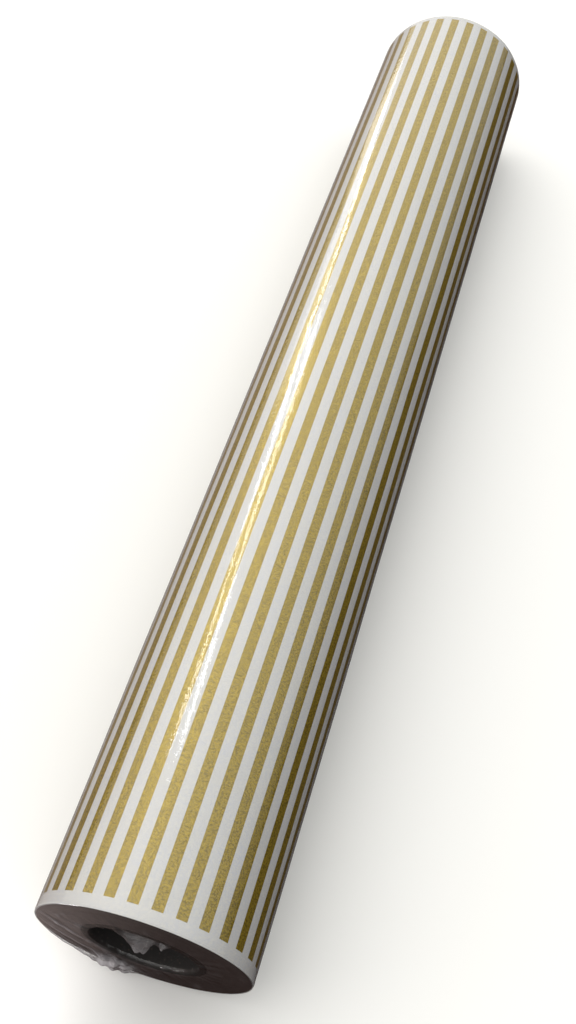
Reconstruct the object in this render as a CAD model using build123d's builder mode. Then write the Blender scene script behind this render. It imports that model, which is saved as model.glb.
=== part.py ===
from build123d import *
import os
from math import cos, degrees, pi, radians, sin

# A roll of wrapping paper for a shop counter: a spirally wound board core, a long
# paper web wound on it, and a clear shrink film over the whole roll, tucked into the
# core at both ends. Millimetres. The roll lies along Y, its near end towards -Y, and
# the origin is the middle of the core's bore. An angle goes from +X towards +Z.

# Driving dimensions.
web_width = 620.0  # the paper's width, which is the roll's length
roll_radius = 48.8  # outside of the film
bore_radius = 25.0  # hole through the core
inner_ply = 0.6  # liner of the bore
middle_ply = 0.9  # each of the two plies that carry the load
outer_ply = 0.6  # cover ply that the paper starts on
start_tape_width = 19.0
start_tape_length = 600.0
start_tape_thickness = 0.2
start_turn = 0.2  # the first turns, bonded to the core by the start tape
last_turns = 0.6  # thickness of the last dozen turns at the free edge's foot
tail_step = 0.1  # how far the web's free edge stands over the turn below it
tail_tape_thickness = 0.08
tail_tape_clearance = 0.02  # between the last turn and the tapes on it
tail_angle = -38.0  # where the free edge lies, low on the +X side
tail_tape_width = 19.0  # along the roll
tail_tape_reach = 36.0  # around the roll, half of it past the free edge
tail_tape_spacing = 380.0  # from one tape's middle to the other's
film = 0.1  # wall of the film, thicker than the real one
film_tuck = 20.0  # how far the film goes into the core's mouth
seam_angle = -117.0  # where the film's welded seam lies, low on the -X side
seam_width = 1.6
seam_height = 0.25

# Radii worked out from them, from the bore outwards.
middle_ply_radius = bore_radius + inner_ply
second_middle_radius = middle_ply_radius + middle_ply
outer_ply_radius = second_middle_radius + middle_ply
core_radius = outer_ply_radius + outer_ply
start_turn_radius = core_radius + start_tape_thickness
winding_radius = start_turn_radius + start_turn
film_inside = roll_radius - film
tail_tape_radius = film_inside - tail_tape_thickness
tail_radius = tail_tape_radius - tail_tape_clearance
tail_foot_radius = tail_radius - tail_step
last_turns_radius = tail_foot_radius - last_turns
half_web = web_width / 2


def save(made, name):
    """Labels a finished piece and writes its STEP file."""
    made.part.label = name
    export_step(made.part, f"parts/{name}.step")


def at(radius, angle):
    """The point at a radius and an angle in degrees, in the roll's section."""
    return radius * cos(radians(angle)), radius * sin(radians(angle))


def tube(name, inside, outside):
    """A plain layer of the roll, over its whole length."""
    with BuildPart() as layer:
        with BuildSketch(Plane.XZ):
            Circle(outside)
            Circle(inside, mode=Mode.SUBTRACT)
        extrude(amount=half_web, both=True)
    save(layer, name)


def band(middle_angle, inside, thickness, width_around):
    """The section of a strip that lies around the roll, centred on an angle."""
    half = degrees(width_around / inside) / 2
    start, end = middle_angle - half, middle_angle + half
    with BuildSketch() as strip:
        with BuildLine():
            low = CenterArc((0, 0), inside, start, end - start)
            high = CenterArc((0, 0), inside + thickness, start, end - start)
            Line(low @ 0, high @ 0)
            Line(low @ 1, high @ 1)
        make_face()
    return strip.sketch


def core():
    """The board core, wound from four glued plies."""
    tube("core_inner_ply", bore_radius, middle_ply_radius)
    tube("core_middle_ply_1", middle_ply_radius, second_middle_radius)
    tube("core_middle_ply_2", second_middle_radius, outer_ply_radius)
    tube("core_outer_ply", outer_ply_radius, core_radius)


def core_start_tape():
    """Double-sided tape along the core, which holds the web's first turn."""
    with BuildPart() as tape:
        with BuildSketch(Plane.XZ):
            add(band(90, core_radius, start_tape_thickness, start_tape_width))
        extrude(amount=start_tape_length / 2, both=True)
    save(tape, "core_start_tape")


def paper():
    """The web, in three nodes: its bonded first turns, the winding, and its last turns."""
    tube("paper_start_turn", start_turn_radius, winding_radius)
    tube("paper_winding", winding_radius, last_turns_radius)

    # The outside is a spiral of two half circles, the second one with its centre half a
    # step towards the tail. It closes in the radial step of the web's cut edge.
    centre = at(tail_step / 2, tail_angle)
    with BuildPart() as turns:
        with BuildSketch(Plane.XZ):
            with BuildLine():
                CenterArc((0, 0), tail_foot_radius, tail_angle, 180)
                CenterArc(centre, tail_foot_radius + tail_step / 2, tail_angle + 180, 180)
                Line(at(tail_foot_radius, tail_angle), at(tail_radius, tail_angle))
            make_face()
            Circle(last_turns_radius, mode=Mode.SUBTRACT)
        extrude(amount=half_web, both=True)
    save(turns, "paper_last_turns")


def tail_tapes():
    """Two short clear tapes that hold the web's free edge down."""
    with BuildPart() as tapes:
        for side in (-1, 1):
            middle = side * tail_tape_spacing / 2
            with BuildSketch(Plane.XZ.offset(middle)):
                add(band(tail_angle, tail_tape_radius, tail_tape_thickness, tail_tape_reach))
            extrude(amount=tail_tape_width / 2, both=True)
    save(tapes, "tail_tapes")


def film_sleeve():
    """The film around the roll, with its welded seam as a low bead on the outside."""
    with BuildPart() as sleeve:
        with BuildSketch(Plane.XZ):
            Circle(roll_radius)
            add(band(seam_angle, film_inside + film / 2, seam_height, seam_width))
            Circle(film_inside, mode=Mode.SUBTRACT)
        extrude(amount=half_web, both=True)
    save(sleeve, "film_sleeve")


def film_end(name, side):
    """The film over one end: flat on the wound edge, then turned into the core."""
    face = side * half_web
    front = side * (half_web + film)
    inner_end = side * (half_web - film_tuck)
    lining = bore_radius - film
    with BuildPart() as end:
        with BuildSketch(Plane.XY):
            with BuildLine():
                Polyline(
                    (lining, inner_end),
                    (lining, front),
                    (roll_radius, front),
                    (roll_radius, face),
                    (bore_radius, face),
                    (bore_radius, inner_end),
                    close=True,
                )
            make_face()
        revolve(axis=Axis.Y)
    save(end, name)


os.makedirs("parts", exist_ok=True)
core()
core_start_tape()
paper()
tail_tapes()
film_sleeve()
film_end("film_near_end", -1)
film_end("film_far_end", 1)

wound_area = pi * (tail_radius**2 - start_turn_radius**2)
print("core outside diameter", 2 * core_radius)
print("wound paper, mm2 in section", round(wound_area))
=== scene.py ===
import math

import bpy
import numpy as np
from bpy.props import FloatProperty, FloatVectorProperty, PointerProperty
from bpy.types import Operator, Panel, PropertyGroup
from mathutils import Matrix, Vector


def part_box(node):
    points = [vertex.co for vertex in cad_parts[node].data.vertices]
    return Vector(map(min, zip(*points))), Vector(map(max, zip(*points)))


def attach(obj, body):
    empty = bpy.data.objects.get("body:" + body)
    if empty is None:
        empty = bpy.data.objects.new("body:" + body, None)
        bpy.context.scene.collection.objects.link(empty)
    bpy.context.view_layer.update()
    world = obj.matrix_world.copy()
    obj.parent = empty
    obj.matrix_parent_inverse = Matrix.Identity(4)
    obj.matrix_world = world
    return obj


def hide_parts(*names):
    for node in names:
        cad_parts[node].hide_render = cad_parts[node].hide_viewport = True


bl_info = {
    "name": "Gift Wrap Roll",
    "version": (1, 0, 0),
    "blender": (4, 5, 0),
    "location": "View3D > Sidebar > Gift Wrap",
    "description": "Builds a film-wrapped counter roll of striped gift wrap around its frame",
    "category": "Add Mesh",
}

# The frame comes first: every size below is worked out from it. Metres. The roll lies
# along Y with its near end towards -Y, and an angle goes from +X towards +Z.
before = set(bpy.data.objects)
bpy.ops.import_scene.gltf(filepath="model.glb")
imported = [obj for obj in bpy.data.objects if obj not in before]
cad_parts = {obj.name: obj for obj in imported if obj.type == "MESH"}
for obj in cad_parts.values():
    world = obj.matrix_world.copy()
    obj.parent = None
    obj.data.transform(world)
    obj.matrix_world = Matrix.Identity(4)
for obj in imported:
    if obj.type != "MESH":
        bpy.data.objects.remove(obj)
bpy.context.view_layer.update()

MM = 0.001
TURN = 2 * math.pi

# A node's box is its low and its high corner.
ROLL_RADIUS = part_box("film_sleeve")[1].x
HALF_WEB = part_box("film_sleeve")[1].y
WINDING_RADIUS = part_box("paper_winding")[1].x
PAPER_START_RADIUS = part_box("paper_start_turn")[1].x
LINER_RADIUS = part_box("core_inner_ply")[1].x
LINER_WALL = 0.6 * MM
BORE_RADIUS = LINER_RADIUS - LINER_WALL
LINER_LEAD = 0.140  # the liner's seam goes once round the bore in this length
LINER_SEAM_DEPTH = 0.2 * MM

TAIL_ANGLE = math.radians(-38.0)  # the web's free edge
TAIL_FOOT_RADIUS = 48.5 * MM  # the turn that the free edge lies on
TAIL_STEP = 0.1 * MM  # how far the free edge stands over that turn
STRIPE_MIDDLE = math.radians(79.5)  # a gold stripe's middle lies here

FILM_WALL = 0.06 * MM  # the film's skin lies this far inside its CAD node
RIM_OVERLAP = 4 * MM  # how much of the roll's side the film's ends take in
LIP_RADIUS = 2.0 * MM  # of the film where it turns into the core
LINING_GAP = 0.3 * MM  # between the tucked film and the bore
SEAM_ANGLE = math.radians(-117.0)  # the film's weld
SEAM_HALF_WIDTH = 0.8 * MM
SEAM_HEIGHT = 0.2 * MM

# How the film lies over each end: piece, CAD node, side, seed, the way it was drawn and
# the way its heap lies in degrees, and its tufts, each with its middle and reach in
# degrees, and how far it falls and stands out in millimetres.
FILM_ENDS = (
    ("film_over_near_end", "film_near_end", -1, 30, 215.0, 243.0,
     ((90, 32, 11.0, 5.0), (64, 10, 3.2, 2.0))),
    ("film_over_far_end", "film_far_end", 1, 40, 320.0, 120.0,
     ((262, 26, -6.0, 2.5), (330, 14, -4.0, 1.5))),
)

# Mesh density: columns go around the roll, and rows lie one behind the other.
LINER_COLUMNS, LINER_ROWS = 90, 160
WINDING_COLUMNS, WINDING_RINGS = 360, 76
LAST_TURNS_COLUMNS, LAST_TURNS_ROWS = 481, 150
FILM_COLUMNS, FILM_ROWS, FILM_SEAM_COLUMNS = 420, 230, 13
FILM_END_ROWS = (2, 6, 46, 8, 26)  # on the side, rim, face, lip and tuck


def linear(hex_colour):
    """A linear RGB triple from an sRGB hex colour."""
    value = hex_colour.lstrip("#")
    steps = [int(value[i : i + 2], 16) / 255 for i in (0, 2, 4)]
    return tuple(c / 12.92 if c <= 0.04045 else ((c + 0.055) / 1.055) ** 2.4 for c in steps)


def colour_property(name, description, hex_colour):
    """A colour that a user can change, with its default as an sRGB hex colour."""
    return FloatVectorProperty(
        name=name, description=description, subtype="COLOR", size=3, min=0, max=1,
        default=linear(hex_colour),
    )


def length_property(name, description, millimetres):
    """A length that a user can change, with its default in millimetres."""
    return FloatProperty(
        name=name, description=description, unit="LENGTH", subtype="DISTANCE", min=0,
        default=millimetres * MM,
    )


class GiftWrapSizes(PropertyGroup):
    """Sizes of the print, the wound edge and the film."""

    stripe_pitch: length_property("Stripe pitch", "From one gold stripe to the next", 10.2)
    gold_width: length_property("Gold width", "Width of one gold stripe", 4.95)
    near_margin: length_property("Near margin", "Unprinted edge at the near end", 5.6)
    far_margin: length_property("Far margin", "Unprinted edge at the far end", 3.0)
    edge_crush: length_property("Edge crush", "Hollow under the outermost turn's edges", 0.7)
    edge_relief: length_property("Edge relief", "How far turns stand in from the face", 0.22)
    shoulder: length_property("Film shoulder", "Radius of the film at the roll's rim", 1.2)
    tuck: length_property("Film tuck", "How far the film goes into the core", 16.0)


class GiftWrapColours(PropertyGroup):
    """Colours of the print, the board, the film and the stage."""

    pearl: colour_property("Pearl", "Coated ground of the paper", "#BFBEB9")
    gold: colour_property("Gold", "Metallic stripe ink", "#8F7A1E")
    # The paper edge is partly its own grey and partly painted shade: it is darker than the web's
    # off-white, for end faces that lie in shade.
    paper_edge: colour_property("Paper edge", "Cut edge of the web", "#554D4B")
    # The board's grey-brown is darkened to near black here: painted shade for the deep bore.
    board: colour_property("Board", "Core board", "#1F1B18")
    tape: colour_property("Tape", "Clear adhesive tape", "#EFE9D2")
    floor: colour_property("Floor", "Studio floor", "#F4F4F2")


# ---- mesh helpers ----------------------------------------------------------------


def waves(seed, count, around, along, angle, distance):
    """A smooth random field that closes around the roll. around is a range of whole
    waves per turn, along a range of wavelengths in metres, and the result is about
    -1 to 1."""
    draw = np.random.default_rng(seed)
    turns = draw.integers(around[0], around[1] + 1, count) * draw.choice((-1, 1), count)
    lengths = draw.uniform(along[0], along[1], count)
    phases = draw.uniform(0, TURN, count)
    total = np.zeros(np.broadcast(angle, distance).shape)
    for k, wavelength, phase in zip(turns, lengths, phases):
        total += np.cos(k * angle + TURN * distance / wavelength + phase)
    return total / math.sqrt(count) / 1.4


def folds(seed, count, around, along, angle, distance):
    """Like waves, but of straight flanks that meet in sharp creases, 0 to about 1."""
    draw = np.random.default_rng(seed)
    turns = draw.integers(around[0], around[1] + 1, count) * draw.choice((-1, 1), count)
    lengths = draw.uniform(along[0], along[1], count)
    phases = draw.uniform(0, 1, count)
    total = np.zeros(np.broadcast(angle, distance).shape)
    for k, wavelength, phase in zip(turns, lengths, phases):
        total += np.abs((k * angle / TURN + distance / wavelength + phase) % 1 * 2 - 1)
    return total / count


def facets(seed, count, lengths, *places):
    """Flat facets that meet in creases at every slope, 0 to about 1, from the places of
    the points along each axis. lengths is a range of crease spacings in metres."""
    draw = np.random.default_rng(seed)
    total = 0
    for _ in range(count):
        heading = draw.normal(size=len(places))
        heading /= np.linalg.norm(heading) * draw.uniform(*lengths)
        across = sum(part * place for part, place in zip(heading, places))
        total = total + np.abs((across + draw.uniform()) % 1 * 2 - 1)
    return total / count


def smooth(low, high, value):
    """0 below low and 1 above high, with a smooth rise between them."""
    t = np.clip((value - low) / (high - low), 0, 1)
    return t * t * (3 - 2 * t)


def bump(centre, half_width, angle):
    """1 at an angle, falling smoothly to 0 at half_width from it."""
    apart = np.abs((angle - centre + math.pi) % TURN - math.pi)
    return 1 - smooth(0, half_width, apart)


def surface(name, points, closed_rows=False):
    """A mesh object from a grid of points, shaped (rows, columns, 3), whose rows are
    rings around the roll. closed_rows joins the last ring to the first."""
    rows, columns = points.shape[:2]
    here = np.arange(rows * columns).reshape(rows, columns)
    up = np.roll(here, -1, axis=0)
    corners = np.stack([here, up, np.roll(up, -1, axis=1), np.roll(here, -1, axis=1)], axis=-1)
    if not closed_rows:
        corners = corners[:-1]
    mesh = bpy.data.meshes.new(name)
    mesh.from_pydata(points.reshape(-1, 3).tolist(), [], corners.reshape(-1, 4).tolist())
    mesh.validate()
    mesh.shade_smooth()
    made = bpy.data.objects.new(name, mesh)
    bpy.context.scene.collection.objects.link(made)
    return made


def ring_points(radius, along, angle):
    """Points at the given radii, places along the roll and angles."""
    radius, along, angle = np.broadcast_arrays(radius, along, angle)
    return np.stack([radius * np.cos(angle), along, radius * np.sin(angle)], axis=-1)


def sharpen(made, degrees):
    """Keeps edges over an angle crisp on a smooth-shaded mesh."""
    made.data.set_sharp_from_angle(angle=math.radians(degrees))


def finish_piece(made, material, node):
    """Gives a piece its material and its body, and hides the CAD node that it stands in for."""
    made.data.materials.append(material)
    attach(made, "root")
    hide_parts(node)


def dress(material, *nodes):
    """Gives a material to CAD nodes that are shown as they are."""
    for name in nodes:
        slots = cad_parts[name].data.materials
        slots.clear()
        slots.append(material)


# ---- materials -------------------------------------------------------------------


def add(tree, kind, inputs=None, **settings):
    """Adds a shader node with its settings, and links or sets its inputs."""
    made = tree.nodes.new("ShaderNode" + kind)
    for name, value in settings.items():
        setattr(made, name, value)
    for key, value in (inputs or {}).items():
        if isinstance(value, bpy.types.NodeSocket):
            tree.links.new(value, made.inputs[key])
        else:
            made.inputs[key].default_value = value
    return made


def new_material(name):
    """An empty node material and its output's tree."""
    made = bpy.data.materials.new(name)
    made.use_nodes = True
    made.node_tree.nodes.clear()
    return made, made.node_tree


def shade(colour, factor=1.0):
    """A linear colour, lightened or darkened, as the four values of a colour socket."""
    return (*(min(1.0, part * factor) for part in colour), 1.0)


def gilt_pearl_paper(sizes, colours):
    """Coated paper, printed by gravure: pearl pigment in the ground gives a soft cool
    lustre, and bronze powder in the stripes gives a grainy, half-metallic gold."""
    made, tree = new_material("gilt_pearl_coated_paper")
    place = add(tree, "TexCoord").outputs["Object"]
    axes = add(tree, "SeparateXYZ", {0: place})

    # Arc length from the free edge, so that the stripes keep their pitch around the roll.
    angle = add(tree, "Math", {0: axes.outputs["Z"], 1: axes.outputs["X"]}, operation="ARCTAN2")
    from_tail = add(tree, "Math", {0: angle.outputs[0], 1: TAIL_ANGLE}, operation="SUBTRACT")
    wrapped = add(tree, "Math", {0: from_tail.outputs[0], 1: TURN, 2: 0.0}, operation="WRAP")
    per_radian = TAIL_FOOT_RADIUS / sizes.stripe_pitch
    phase = -(STRIPE_MIDDLE - TAIL_ANGLE) * per_radian % 1
    pitches = add(
        tree, "Math",
        {0: wrapped.outputs[0], 1: per_radian, 2: phase},
        operation="MULTIPLY_ADD",
    )
    # PINGPONG folds each pitch in two, so gold is where the fold is under half its share.
    doubled = add(tree, "Math", {0: pitches.outputs[0], 1: 0.5}, operation="PINGPONG")
    share = sizes.gold_width / sizes.stripe_pitch / 2
    soft = 0.06 * MM / sizes.stripe_pitch  # how far the ink's edge fades
    ragged = add(tree, "TexNoise", {"Vector": place, "Scale": 1 / (0.5 * MM), "Detail": 2.0})
    edge = add(
        tree, "Math", {0: ragged.outputs["Fac"], 1: 0.012, 2: -0.006}, operation="MULTIPLY_ADD"
    )
    folded = add(tree, "Math", {0: doubled.outputs[0], 1: edge.outputs[0]}, operation="ADD")
    stripe = add(
        tree, "MapRange",
        {"Value": folded.outputs[0], "From Min": share - soft, "From Max": share + soft,
         "To Min": 1.0, "To Max": 0.0},
    )
    near = add(
        tree, "Math", {0: axes.outputs["Y"], 1: -HALF_WEB + sizes.near_margin},
        operation="GREATER_THAN",
    )
    far = add(
        tree, "Math", {0: axes.outputs["Y"], 1: HALF_WEB - sizes.far_margin}, operation="LESS_THAN"
    )
    printed = add(tree, "Math", {0: near.outputs[0], 1: far.outputs[0]}, operation="MULTIPLY")
    gold = add(
        tree, "Math", {0: stripe.outputs[0], 1: printed.outputs[0]}, operation="MULTIPLY"
    ).outputs[0]

    # Bronze powder and pearl pigment, drawn coarser than the real grains so they show.
    grain = add(tree, "TexNoise", {"Vector": place, "Scale": 1 / (0.8 * MM), "Detail": 3.0})
    specks = add(
        tree, "MapRange", {"Value": grain.outputs["Fac"], "From Min": 0.36, "From Max": 0.64}
    ).outputs[0]
    cloud = add(tree, "TexNoise", {"Vector": place, "Scale": 1 / (14 * MM), "Detail": 2.0})
    flake = add(tree, "TexVoronoi", {"Vector": place, "Scale": 1 / (0.7 * MM)})

    gold_tint = add(
        tree, "MixRGB",
        {"Fac": specks, "Color1": shade(colours.gold, 0.62),
         "Color2": shade(colours.gold, 1.38)},
    )
    cool = add(
        tree, "MixRGB",
        {"Fac": cloud.outputs["Fac"], "Color1": shade(colours.pearl),
         "Color2": shade(linear("#BCC0CB"))},
    )
    pearl_tint = add(
        tree, "MixRGB",
        {"Fac": specks, "Color1": cool.outputs[0],
         "Color2": shade(colours.pearl, 1.12)},
    )
    tint = add(
        tree, "MixRGB",
        {"Fac": gold, "Color1": pearl_tint.outputs[0], "Color2": gold_tint.outputs[0]},
    )
    metallic = add(tree, "MapRange", {"Value": gold, "To Min": 0.1, "To Max": 0.5})
    powder = add(
        tree, "MapRange", {"Value": flake.outputs["Distance"], "To Min": -0.06, "To Max": 0.06}
    )
    sheen = add(tree, "MapRange", {"Value": gold, "To Min": 0.55, "To Max": 0.33})
    roughness = add(tree, "Math", {0: sheen.outputs[0], 1: powder.outputs[0]}, operation="ADD")
    relief = add(
        tree, "Bump", {"Strength": 0.4, "Distance": 0.1 * MM, "Height": grain.outputs["Fac"]}
    )
    ground = add(
        tree, "BsdfPrincipled",
        {"Base Color": tint.outputs[0], "Metallic": metallic.outputs[0],
         "Roughness": roughness.outputs[0], "Specular IOR Level": 0.35,
         "Normal": relief.outputs[0]},
    )
    add(tree, "OutputMaterial", {"Surface": ground.outputs[0]})
    return made


def wound_paper_edge(colours):
    """The cut edges of a slit and wound web: fine rings, some of them darker where the
    turns lie tight, and soft dirt from handling. The base colour is darker than the paper's own
    off-white, as painted shade for the end faces."""
    made, tree = new_material("slit_paper_edge")
    place = add(tree, "TexCoord").outputs["Object"]
    axes = add(tree, "SeparateXYZ", {0: place})
    flat = add(tree, "CombineXYZ", {"X": axes.outputs["X"], "Y": axes.outputs["Z"]})
    radius = add(tree, "VectorMath", {0: flat.outputs[0]}, operation="LENGTH")
    # One turn is 0.05 mm, too fine to show, so a ring stands for about eight turns.
    rings = add(
        tree, "TexNoise", {"W": radius.outputs["Value"], "Scale": 1 / (0.4 * MM), "Detail": 3.0},
        noise_dimensions="1D",
    )
    bands = add(
        tree, "TexNoise", {"W": radius.outputs["Value"], "Scale": 1 / (3.5 * MM), "Detail": 1.0},
        noise_dimensions="1D",
    )
    dirt = add(tree, "TexNoise", {"Vector": place, "Scale": 1 / (9 * MM), "Detail": 4.0})
    ring_tint = add(
        tree, "MixRGB",
        {"Fac": rings.outputs["Fac"], "Color1": shade(colours.paper_edge, 0.62),
         "Color2": shade(colours.paper_edge, 1.3)},
    )
    band_tint = add(
        tree, "MixRGB",
        {"Fac": bands.outputs["Fac"], "Color1": ring_tint.outputs[0],
         "Color2": shade(linear("#3A3230"))},
    )
    tint = add(
        tree, "MixRGB",
        {"Fac": dirt.outputs["Fac"], "Color1": band_tint.outputs[0],
         "Color2": shade(linear("#615957"))},
    )
    relief = add(
        tree, "Bump", {"Strength": 0.4, "Distance": 0.1 * MM, "Height": rings.outputs["Fac"]}
    )
    edge = add(
        tree, "BsdfPrincipled",
        {"Base Color": tint.outputs[0], "Roughness": 0.8, "IOR": 1.5, "Normal": relief.outputs[0]},
    )
    add(tree, "OutputMaterial", {"Surface": edge.outputs[0]})
    return made


def core_board(colours):
    """Spirally wound grey-brown board of pulped waste paper: matt, with short fibres and
    small pale specks. Its colour is darkened to near black as painted shade for the deep bore."""
    made, tree = new_material("wound_core_board")
    place = add(tree, "TexCoord").outputs["Object"]
    stretch = add(tree, "Mapping", {"Vector": place, "Scale": (1.0, 0.25, 1.0)})
    fibre = add(
        tree, "TexNoise",
        {"Vector": stretch.outputs[0], "Scale": 1 / (0.8 * MM), "Detail": 4.0, "Roughness": 0.65},
    )
    specks = add(tree, "TexVoronoi", {"Vector": place, "Scale": 1 / (2.2 * MM)})
    dark = add(
        tree, "MapRange", {"Value": specks.outputs["Distance"], "From Min": 0.05, "From Max": 0.16}
    )
    tint = add(
        tree, "MixRGB",
        {"Fac": fibre.outputs["Fac"], "Color1": shade(colours.board, 0.75),
         "Color2": shade(colours.board, 1.25)},
    )
    speckled = add(
        tree, "MixRGB",
        {"Fac": dark.outputs[0], "Color1": shade(linear("#5B4B3D")), "Color2": tint.outputs[0]},
    )
    relief = add(
        tree, "Bump", {"Strength": 0.35, "Distance": 0.08 * MM, "Height": fibre.outputs["Fac"]}
    )
    board = add(
        tree, "BsdfPrincipled",
        {"Base Color": speckled.outputs[0], "Roughness": 0.85, "IOR": 1.5,
         "Normal": relief.outputs[0]},
    )
    add(tree, "OutputMaterial", {"Surface": board.outputs[0]})
    return made


def shrink_film(name, haze, crinkle):
    """Polyolefin film, blown and shrunk on: it shows nothing of its own but its gloss,
    a slight orange peel and grey milk where it is gathered. Over its streaks and creases that milk
    is partly a painted highlight.
    haze is its own milkiness, and crinkle the strength of its fine relief."""
    made, tree = new_material(name)
    place = add(tree, "TexCoord").outputs["Object"]
    # The orange peel and the fine crinkle are drawn coarser than the real ones.
    peel = add(tree, "TexNoise", {"Vector": place, "Scale": 1 / (3.0 * MM), "Detail": 2.0})
    fine = add(tree, "TexNoise", {"Vector": place, "Scale": 1 / (0.9 * MM), "Detail": 3.0})
    first = add(
        tree, "Bump", {"Strength": 0.7, "Distance": 0.1 * MM, "Height": peel.outputs["Fac"]}
    )
    second = add(
        tree, "Bump",
        {"Strength": crinkle, "Distance": 0.05 * MM, "Height": fine.outputs["Fac"],
         "Normal": first.outputs[0]},
    )
    # Both faces of so thin a film mirror alike, so the share goes by the angle alone.
    slant = add(tree, "LayerWeight", {"Blend": 0.5, "Normal": second.outputs[0]})
    grazing = add(tree, "Math", {0: slant.outputs["Facing"], 1: 5.0}, operation="POWER")
    mirror = add(
        tree, "Math", {0: grazing.outputs[0], 1: 0.95, 2: 0.05}, operation="MULTIPLY_ADD"
    )
    gloss = add(
        tree, "BsdfGlossy",
        {"Color": shade(linear("#FFFFFF")), "Roughness": 0.07, "Normal": second.outputs[0]},
    )
    clear = add(tree, "BsdfTransparent", {"Color": shade(linear("#FCFCFC"))})
    milk = add(tree, "BsdfDiffuse", {"Color": shade(linear("#BCBABD"))})
    # Where the film is gathered, its many layers scatter the light and look grey. Over its streaks
    # and creases this grey is partly a painted highlight.
    milk_share_and_highlight = add(tree, "Attribute", attribute_name="milk_share_and_highlight")
    cloudy = add(
        tree, "Math", {0: milk_share_and_highlight.outputs["Fac"], 1: 0.85, 2: haze}, operation="MULTIPLY_ADD"
    )
    body = add(tree, "MixShader", {0: cloudy.outputs[0], 1: clear.outputs[0], 2: milk.outputs[0]})
    film = add(
        tree, "MixShader", {0: mirror.outputs[0], 1: body.outputs[0], 2: gloss.outputs[0]}
    )
    add(tree, "OutputMaterial", {"Surface": film.outputs[0]})
    return made


def clear_tape(colours):
    """Acrylic tape on clear film: glossy, a little yellow from its adhesive."""
    made, tree = new_material("clear_acrylic_tape")
    place = add(tree, "TexCoord").outputs["Object"]
    bubbles = add(tree, "TexNoise", {"Vector": place, "Scale": 1 / (1.5 * MM), "Detail": 2.0})
    relief = add(
        tree, "Bump", {"Strength": 0.1, "Distance": 0.05 * MM, "Height": bubbles.outputs["Fac"]}
    )
    clear = add(tree, "BsdfTransparent", {"Color": shade(linear("#F9F7EF"))})
    face = add(
        tree, "BsdfPrincipled",
        {"Base Color": shade(colours.tape), "Roughness": 0.2, "IOR": 1.47,
         "Normal": relief.outputs[0]},
    )
    tape = add(tree, "MixShader", {0: 0.22, 1: clear.outputs[0], 2: face.outputs[0]})
    add(tree, "OutputMaterial", {"Surface": tape.outputs[0]})
    return made


# ---- the roll --------------------------------------------------------------------


def ripple(angle, along):
    """How far the last turns, and the film on them, wave in and out, in metres."""
    slack = waves(11, 16, (4, 13), (0.07, 0.30), angle, along)
    creep = waves(12, 24, (16, 42), (0.015, 0.06), angle, along)
    return 0.085 * MM * slack + 0.012 * MM * creep


def film_columns():
    """The angles of the film's mesh columns, closer together at the welded seam."""
    even = np.linspace(0, TURN, FILM_COLUMNS, endpoint=False)
    fine = np.linspace(-1.5, 1.5, FILM_SEAM_COLUMNS) * SEAM_HALF_WIDTH / ROLL_RADIUS
    return np.sort(np.concatenate([even, SEAM_ANGLE % TURN + fine]))[None, :]


def seam_bead(angle):
    """How far the welded seam stands out of the film, in metres."""
    apart = np.abs((angle - SEAM_ANGLE + math.pi) % TURN - math.pi) * ROLL_RADIUS
    return SEAM_HEIGHT * np.sqrt(np.clip(1 - (apart / SEAM_HALF_WIDTH) ** 2, 0, 1))


def end_section(sizes):
    """The section of the film over an end: along the side, round the rim, down the face,
    round the lip and into the core. It gives each point's path from the start, the
    paths where its parts begin and end, and each point's radius, its place out of the
    end face, and its tilt from the side towards the face."""
    outer = ROLL_RADIUS - FILM_WALL
    rim, lip = sizes.shoulder, LIP_RADIUS
    mouth = BORE_RADIUS - LINING_GAP
    side = RIM_OVERLAP - rim
    face = outer - rim - mouth - lip
    stops = np.cumsum((0, side, rim * math.pi / 2, face, lip * math.pi / 2, sizes.tuck))
    parts = [
        np.linspace(stops[k], stops[k + 1], rows, endpoint=False)
        for k, rows in enumerate(FILM_END_ROWS)
    ]
    path = np.concatenate(parts)[:, None]
    rim_turn = np.clip((path - stops[1]) / rim, 0, math.pi / 2)
    lip_turn = np.clip((path - stops[3]) / lip, 0, math.pi / 2)
    radius = outer - rim * (1 - np.cos(rim_turn)) - np.clip(path - stops[2], 0, face)
    radius = radius - lip * np.sin(lip_turn)
    out = np.clip(path, 0, side) - RIM_OVERLAP + rim * np.sin(rim_turn) + FILM_WALL
    out = out - lip * (1 - np.cos(lip_turn)) - np.clip(path - stops[4], 0, sizes.tuck)
    return path, stops, radius, out, rim_turn + lip_turn


class GIFTWRAP_OT_core(Operator):
    """Makes the board core: its liner with a helical seam, and the plies around it"""

    bl_idname = "giftwrap.core"
    bl_label = "Core"

    def execute(self, context):
        colours = context.scene.gift_wrap_colours
        board = core_board(colours)
        dress(board, "core_middle_ply_1", "core_middle_ply_2", "core_outer_ply")
        dress(clear_tape(colours), "core_start_tape")

        # The liner: the edges of its strip meet in a shallow seam that winds through the
        # bore, so the mesh's columns wind with it.
        seam = np.array((-0.8, -0.4, 0.0, 0.4, 0.8)) * MM / BORE_RADIUS
        rest = np.linspace(seam[-1], TURN + seam[0], LINER_COLUMNS)[1:-1]
        around = np.concatenate([seam, rest])
        along = np.linspace(-HALF_WEB, HALF_WEB, LINER_ROWS)[:, None]
        angle = around[None, :] + TURN * along / LINER_LEAD
        gap = LINER_SEAM_DEPTH * (np.abs(around) < 0.1 * MM / BORE_RADIUS)
        inside = ring_points(BORE_RADIUS + gap[None, :], along, angle)
        outside = ring_points(LINER_RADIUS, along[::-1], angle[::-1])
        liner = surface(
            "core_liner", np.concatenate([inside, outside])[::-1], closed_rows=True
        )
        sharpen(liner, 40)
        finish_piece(liner, board, "core_inner_ply")
        return {"FINISHED"}


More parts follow.
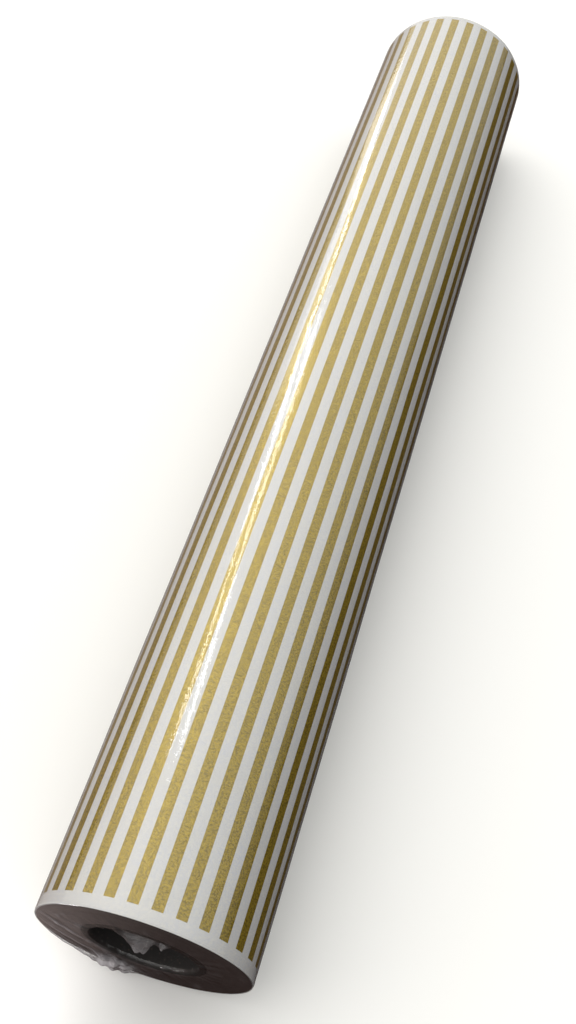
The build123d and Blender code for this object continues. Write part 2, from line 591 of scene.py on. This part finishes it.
class GIFTWRAP_OT_paper(Operator):
    """Makes the wound web: its edge rings and its printed last turns"""

    bl_idname = "giftwrap.paper"
    bl_label = "Paper"

    def execute(self, context):
        sizes = context.scene.gift_wrap_sizes
        colours = context.scene.gift_wrap_colours
        edge = wound_paper_edge(colours)
        dress(edge, "paper_start_turn")
        self.make_winding(edge, sizes)
        self.make_last_turns(gilt_pearl_paper(sizes, colours), sizes)
        return {"FINISHED"}

    def make_winding(self, edge, sizes):
        """The winding: its end faces carry rings of turns that stand in a little."""
        angle = np.linspace(0, TURN, WINDING_COLUMNS, endpoint=False)[None, :]
        radius = np.linspace(WINDING_RADIUS, PAPER_START_RADIUS, WINDING_RINGS)[:, None]
        faces = []
        for side in (-1, 1):
            draw = np.random.default_rng(20 + side)
            depth = np.cumsum(draw.normal(0, 1, WINDING_RINGS))
            depth = np.abs(depth - depth.mean())
            depth = depth / depth.max() + 0.35 * draw.uniform(0, 1, WINDING_RINGS)
            drift = 0.12 * waves(24 + side, 8, (1, 3), (0.02, 0.05), angle, radius)
            inset = sizes.edge_relief * np.clip(depth[:, None] + drift, 0, 1.4) / 1.4
            faces.append(ring_points(radius, side * (HALF_WEB - inset), angle))
        near_face, far_face = faces
        winding = surface(
            "wound_web", np.concatenate([near_face, far_face[::-1]])[::-1], closed_rows=True
        )
        sharpen(winding, 50)
        finish_piece(winding, edge, "paper_winding")

    def make_last_turns(self, print_face, sizes):
        """The last turns: a spiral outside that ends in the free edge's step."""
        columns = np.linspace(0, 1, LAST_TURNS_COLUMNS)[None, :]
        angle = TAIL_ANGLE + TURN * columns
        crush = sizes.edge_crush
        middle = np.linspace(-HALF_WEB + crush, HALF_WEB - crush, LAST_TURNS_ROWS)
        # At the rims the outermost turn's edge stands out over a hollow quarter round.
        quarter = np.linspace(0, math.pi / 2, 6)[:-1]
        back = crush * (1 - np.sin(quarter))
        down = crush * (1 - np.cos(quarter))
        along = np.concatenate([-HALF_WEB + back, middle, HALF_WEB - back[::-1]])[:, None]
        drop = np.concatenate([down[::-1], 0 * middle, down])[:, None]
        radius = TAIL_FOOT_RADIUS + TAIL_STEP * columns - drop
        radius = radius + ripple(angle, along) * smooth(-1, 0, -drop / crush)
        outside = ring_points(radius, along, angle)
        inside = ring_points(WINDING_RADIUS, np.array([[HALF_WEB], [-HALF_WEB]]), angle)
        turns = surface(
            "printed_last_turns", np.concatenate([outside, inside]), closed_rows=True
        )
        sharpen(turns, 35)
        finish_piece(turns, print_face, "paper_last_turns")


class GIFTWRAP_OT_film(Operator):
    """Makes the shrink film: the sleeve and its crumpled ends"""

    bl_idname = "giftwrap.film"
    bl_label = "Film"

    def execute(self, context):
        sizes = context.scene.gift_wrap_sizes
        border = HALF_WEB - RIM_OVERLAP
        angle = film_columns()
        along = np.linspace(-border, border, FILM_ROWS)[:, None]
        radius = ROLL_RADIUS - FILM_WALL + ripple(angle, along) + seam_bead(angle)
        sleeve = surface("film_around", ring_points(radius, along, angle))
        tight = shrink_film("shrunk_film_tight", 0.012, 0.35)
        finish_piece(sleeve, tight, "film_sleeve")
        creased = shrink_film("shrunk_film_creased", 0.03, 0.5)
        for end in FILM_ENDS:
            self.make_end(creased, sizes, *end)
        return {"FINISHED"}

    def make_end(self, creased, sizes, name, node, side, seed, drawn, gathered, tufts):
        """One end: the rim, the creased face, the lip, and the tuck in the core's mouth."""
        angle = film_columns()
        path, stops, radius, out, tilt = end_section(sizes)
        inward = smooth(stops[1], stops[4], path)
        on_face = smooth(stops[1], stops[2] + 3 * MM, path)
        short_of_lip = 1 - inward**4
        x, z = radius * np.cos(angle), radius * np.sin(angle)

        pleats = folds(seed, 4, (20, 44), (0.05, 0.12), angle, path)
        crumple = facets(seed + 1, 6, (0.005, 0.016), x, out, z)
        loose = 0.25 + 0.75 * bump(math.radians(drawn), math.radians(120), angle)
        lift = (0.9 * pleats * inward**2 + 0.8 * crumple * on_face * loose) * MM

        # The film was drawn towards one side before it shrank: long creases lie along
        # the rim there, and the gathered excess stands out as a crumpled heap.
        direction = math.radians(drawn)
        across = x * math.cos(direction) + z * math.sin(direction)
        wobble = 0.8 * MM * waves(seed + 2, 6, (1, 5), (0.02, 0.05), angle, path)
        ridges = folds(seed + 3, 3, (0, 0), (0.003, 0.008), angle, across + wobble)
        flank = bump(direction, math.radians(80), angle) * on_face * short_of_lip
        lift = lift + 1.5 * MM * ridges * flank

        heap = bump(math.radians(gathered), math.radians(23), angle) * on_face
        heap = heap * smooth(27 * MM, 35 * MM, radius)
        shards = facets(seed + 4, 3, (0.003, 0.009), x, out, z)
        lift = lift + heap * (0.8 + 2.9 * shards) * MM

        settle = ripple(angle, side * (HALF_WEB - RIM_OVERLAP)) + seam_bead(angle)
        radius = radius + np.cos(tilt) * lift + settle * (1 - smooth(0, stops[2], path))
        out = out + np.sin(tilt) * lift

        # Loose tufts stand out of the lip and hang over the mouth.
        along_tuft = np.clip((path - stops[3]) / (stops[5] - stops[3]), 0, 1)
        swing = np.sin(math.pi * along_tuft**0.7)
        drop, hang = np.zeros_like(radius), np.zeros_like(radius)
        for centre, reach, fall, stand in tufts:
            share = bump(math.radians(centre), math.radians(reach), angle) * swing
            share = share * (0.7 + 0.6 * shards)
            drop, hang = drop + share * fall * MM, hang + share
            out = out + share * (stand * MM + sizes.tuck * 0.6 * along_tuft)
        points = ring_points(radius, side * (HALF_WEB + out), angle)
        points[..., 2] -= drop
        film = surface(name, points[::side])
        sharpen(film, 24)

        # The share of each point's film that is gathered, which makes it milky. Over the streaks
        # on the drawn side and over the face's creases, the milk is partly a painted highlight
        # that makes them, and that side of the face, lighter.
        streak_milk_and_highlight = smooth(0.5, 0.8, ridges) * flank
        creases = smooth(0.62, 0.8, crumple) * on_face * short_of_lip * loose
        milk_share_and_highlight = np.clip(1.2 * heap + 0.5 * hang + 0.9 * streak_milk_and_highlight + 0.6 * creases, 0, 1)
        shown = film.data.attributes.new("milk_share_and_highlight", "FLOAT", "POINT")
        shown.data.foreach_set("value", milk_share_and_highlight[::side].ravel())
        finish_piece(film, creased, node)
        # The tube's end was as wide as the sleeve. The shrink tunnel took it in to the
        # area of the rim, the face and the tuck.
        shrunk = TURN * ROLL_RADIUS * RIM_OVERLAP + math.pi * (ROLL_RADIUS**2 - BORE_RADIUS**2)
        shrunk += TURN * BORE_RADIUS * sizes.tuck


class GIFTWRAP_OT_tapes(Operator):
    """Gives the two clear tapes on the web's free edge their material"""

    bl_idname = "giftwrap.tapes"
    bl_label = "Tail tapes"

    def execute(self, context):
        dress(clear_tape(context.scene.gift_wrap_colours), "tail_tapes")
        return {"FINISHED"}


# ---- stage -----------------------------------------------------------------------

# The camera stands above the near end, level, and looks down along the roll.
CAMERA_OFFSET = Vector((94.8, -106.0, 512.1)) * MM  # from the near end's centre
CAMERA_TURN = math.radians(16.46)  # from +Y towards -X
CAMERA_TILT = math.radians(55.46)  # below level
CAMERA_LENS = 41.37  # millimetres
FLOOR_REACH = 6.0
# The room's broad light overhead and its weaker one from the low left: the way to its
# middle, its colour and its strength.
GLOWS = (
    ((0.140, 0.420, 0.897), (0.99, 1.0, 0.985, 1.0), 1.45),
    ((-0.90, 0.38, 0.20), (0.97, 0.92, 0.86, 1.0), 1.15),
)
# The panes of a window: name, start, end, width and power in watts.
PANE_COLOUR = (0.96, 0.98, 1.0)
PANES = (
    ("pane_near", (-0.364, 0.084, 0.810), (-0.548, 0.612, 0.455), 0.040, 0.85),
    ("pane_left", (-0.478, 0.084, 0.746), (-0.605, 0.611, 0.375), 0.028, 0.62),
    ("pane_far", (-0.607, 0.497, 0.450), (-0.570, 0.904, 0.164), 0.030, 0.46),
    ("pane_soft", (-0.640, 0.520, 0.360), (-0.590, 0.960, 0.080), 0.140, 0.40),
)


def area_lamp(name, place, target, along, size, power, colour):
    """A soft rectangular lamp at a place, facing a target, its length lying along a
    direction."""
    data = bpy.data.lights.new(name, "AREA")
    data.shape, data.size, data.size_y = "RECTANGLE", *size
    data.energy, data.color = power, colour
    lamp = bpy.data.objects.new(name, data)
    bpy.context.scene.collection.objects.link(lamp)
    back = (Vector(place) - Vector(target)).normalized()
    length = Vector(along) - back * Vector(along).dot(back)
    length.normalize()
    turn = Matrix((length, back.cross(length), back)).transposed().to_4x4()
    lamp.matrix_world = Matrix.Translation(place) @ turn
    return lamp


def matt_floor(colours):
    """Matt white floor paint with faint clouds. It is pale to the eye. In the roll's gloss
    and on its dark sides it is a wooden table with painted light and shade: a lit pale brown on
    the left, towards the light, and a shaded dark brown to the right."""
    made, tree = new_material("matt_white_floor_paint")
    place = add(tree, "TexCoord").outputs["Object"]
    cloud = add(tree, "TexNoise", {"Vector": place, "Scale": 3.0})
    tint = add(
        tree, "MixRGB",
        {"Fac": cloud.outputs["Fac"], "Color1": shade(colours.floor),
         "Color2": shade(colours.floor, 0.97)},
    )
    paint = add(tree, "BsdfPrincipled", {"Base Color": tint.outputs[0], "Roughness": 0.9})
    axes = add(tree, "SeparateXYZ", {0: place})
    # The table's colour is painted light and shade: pale where light falls on the left, dark brown
    # in shade to the right.
    table_shade_rightward = add(
        tree, "MapRange",
        {"Value": axes.outputs["X"], "From Min": -3 * ROLL_RADIUS, "From Max": 0.0},
    )
    table_light_and_shade = add(
        tree, "MixRGB",
        {"Fac": table_shade_rightward.outputs[0], "Color1": shade(linear("#958984")),
         "Color2": shade(linear("#2F1F1B"))},
    )
    table = add(tree, "BsdfDiffuse", {"Color": table_light_and_shade.outputs[0]})
    seen = add(tree, "LightPath").outputs["Is Camera Ray"]
    shown = add(tree, "MixShader", {0: seen, 1: table.outputs[0], 2: paint.outputs[0]})
    add(tree, "OutputMaterial", {"Surface": shown.outputs[0]})
    return made


def make_floor(scene):
    """The floor that the roll rests on."""
    low, reach = -ROLL_RADIUS, FLOOR_REACH
    mesh = bpy.data.meshes.new("floor")
    mesh.from_pydata(
        [(-reach, -reach, low), (reach, -reach, low), (reach, reach, low), (-reach, reach, low)],
        [], [(0, 1, 2, 3)],
    )
    mesh.materials.append(matt_floor(scene.gift_wrap_colours))
    floor = bpy.data.objects.new("floor", mesh)
    scene.collection.objects.link(floor)


def hang_lamps():
    """The lamps that stand in for the room's window and for the light near the roll."""
    # The panes give the long highlight and its fainter neighbour. They give gloss alone:
    # the room's glow and the soft lamp give the matt light.
    for name, start, end, width, power in PANES:
        start, end = Vector(start), Vector(end)
        pane = area_lamp(
            name, (start + end) / 2, (0, 0, 0), end - start,
            ((end - start).length, width), power, PANE_COLOUR,
        )
        pane.visible_diffuse = False
    soft = area_lamp(
        "soft_lamp", (0.15, 0.75, 0.75), (0, 0.25, 0), (1, 0, 0), (0.7, 0.7), 0.9,
        (0.97, 0.98, 1.0),
    )
    soft.visible_glossy = False
    # A small low lamp close to the left of the near end, so that its creases show there
    # and its right side stays dark.
    low_lamp = area_lamp(
        "low_lamp", (-0.068, -0.360, -0.010), (-0.063, -0.310, -0.008), (1, 0, 0),
        (0.03, 0.02), 0.022, (1.0, 0.95, 0.98),
    )
    low_lamp.visible_camera = False


def light_room(scene):
    """The room: its glows in dark warm surroundings, and pale behind the roll."""
    world = bpy.data.worlds.new("room")
    scene.world = world
    world.use_nodes = True
    tree = world.node_tree
    tree.nodes.clear()
    toward = add(tree, "TexCoord").outputs["Generated"]
    lit = add(tree, "Background", {"Color": shade(linear("#271D1B"))}).outputs[0]
    for heading, colour, power in GLOWS:
        along = add(tree, "VectorMath", {0: toward, 1: heading}, operation="DOT_PRODUCT")
        facing = add(tree, "Math", {0: along.outputs["Value"], 1: 0.0}, operation="MAXIMUM")
        strength = add(tree, "Math", {0: facing.outputs[0], 1: power}, operation="MULTIPLY")
        glow = add(tree, "Background", {"Color": colour, "Strength": strength.outputs[0]})
        lit = add(tree, "AddShader", {0: lit, 1: glow.outputs[0]}).outputs[0]
    seen = add(tree, "LightPath").outputs["Is Camera Ray"]
    pale = add(tree, "Background", {"Color": (0.93, 0.93, 0.93, 1.0), "Strength": 1.0})
    mixed = add(tree, "MixShader", {0: seen, 1: lit, 2: pale.outputs[0]})
    add(tree, "OutputWorld", {"Surface": mixed.outputs[0]})


def place_camera(scene):
    """The camera, above the near end."""
    data = bpy.data.cameras.new("camera")
    data.lens, data.sensor_width, data.sensor_fit = CAMERA_LENS, 36.0, "AUTO"
    data.clip_start = 0.01
    camera = bpy.data.objects.new("camera", data)
    scene.collection.objects.link(camera)
    camera.location = Vector((0, -HALF_WEB, 0)) + CAMERA_OFFSET
    camera.rotation_euler = (math.pi / 2 - CAMERA_TILT, 0, CAMERA_TURN)
    scene.camera = camera


class GIFTWRAP_OT_stage(Operator):
    """Sets the floor, the lamps, the surroundings and the camera"""

    bl_idname = "giftwrap.stage"
    bl_label = "Stage"

    def execute(self, context):
        scene = context.scene
        scene.view_settings.view_transform = "Standard"
        make_floor(scene)
        hang_lamps()
        light_room(scene)
        place_camera(scene)
        return {"FINISHED"}


# ---- add-on ----------------------------------------------------------------------


class GIFTWRAP_PT_panel(Panel):
    """Lists the roll's sizes, colours and makers in the sidebar"""

    bl_idname = "GIFTWRAP_PT_panel"
    bl_label = "Gift Wrap Roll"
    bl_space_type = "VIEW_3D"
    bl_region_type = "UI"
    bl_category = "Gift Wrap"

    def draw(self, context):
        for group in (context.scene.gift_wrap_sizes, context.scene.gift_wrap_colours):
            column = self.layout.column(align=True)
            for name in type(group).__annotations__:
                column.prop(group, name)
        for operator in OPERATORS:
            self.layout.operator(operator.bl_idname)


OPERATORS = (
    GIFTWRAP_OT_stage,
    GIFTWRAP_OT_core,
    GIFTWRAP_OT_paper,
    GIFTWRAP_OT_tapes,
    GIFTWRAP_OT_film,
)
CLASSES = (GiftWrapSizes, GiftWrapColours, *OPERATORS, GIFTWRAP_PT_panel)


def register():
    for made in CLASSES:
        bpy.utils.register_class(made)
    bpy.types.Scene.gift_wrap_sizes = PointerProperty(type=GiftWrapSizes)
    bpy.types.Scene.gift_wrap_colours = PointerProperty(type=GiftWrapColours)


def unregister():
    del bpy.types.Scene.gift_wrap_colours
    del bpy.types.Scene.gift_wrap_sizes
    for made in reversed(CLASSES):
        bpy.utils.unregister_class(made)


def main():
    """Builds the whole scene."""
    register()
    bpy.ops.giftwrap.stage()
    bpy.ops.giftwrap.core()
    bpy.ops.giftwrap.paper()
    bpy.ops.giftwrap.tapes()
    bpy.ops.giftwrap.film()


if __name__ == "__main__":
    main()
